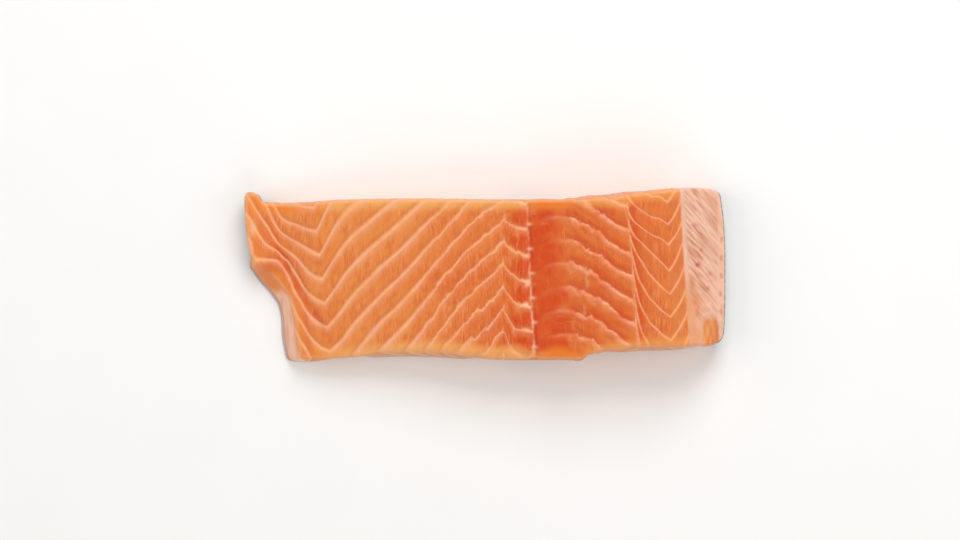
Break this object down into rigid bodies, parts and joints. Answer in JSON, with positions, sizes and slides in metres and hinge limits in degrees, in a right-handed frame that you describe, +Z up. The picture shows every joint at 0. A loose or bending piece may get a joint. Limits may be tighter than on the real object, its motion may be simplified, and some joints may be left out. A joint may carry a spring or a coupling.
{
  "type": "raw salmon fillet",
  "caption": "Raw salmon fillet portion with its skin, cut straight across one side of the fish, lying flat on the skin with a thin belly flap and a thick bevelled back.",
  "frame": {"origin": "middle of the flat underside, at the centre of the footprint", "axes": "+X across the fish from the belly flap to the back, +Y along the fish, +Z up out of the skin side"},
  "size_m": [0.2054, 0.0742, 0.0282],
  "materials": {
    "salmon_flesh": "raw orange fish flesh with pale fat lines, moist",
    "salmon_skin": "scaled fish skin, silver on the belly to blue-grey on the back, wet"
  },
  "bodies": {
    "root": {"fillet": "salmon_flesh"}
  },
  "joints": []
}
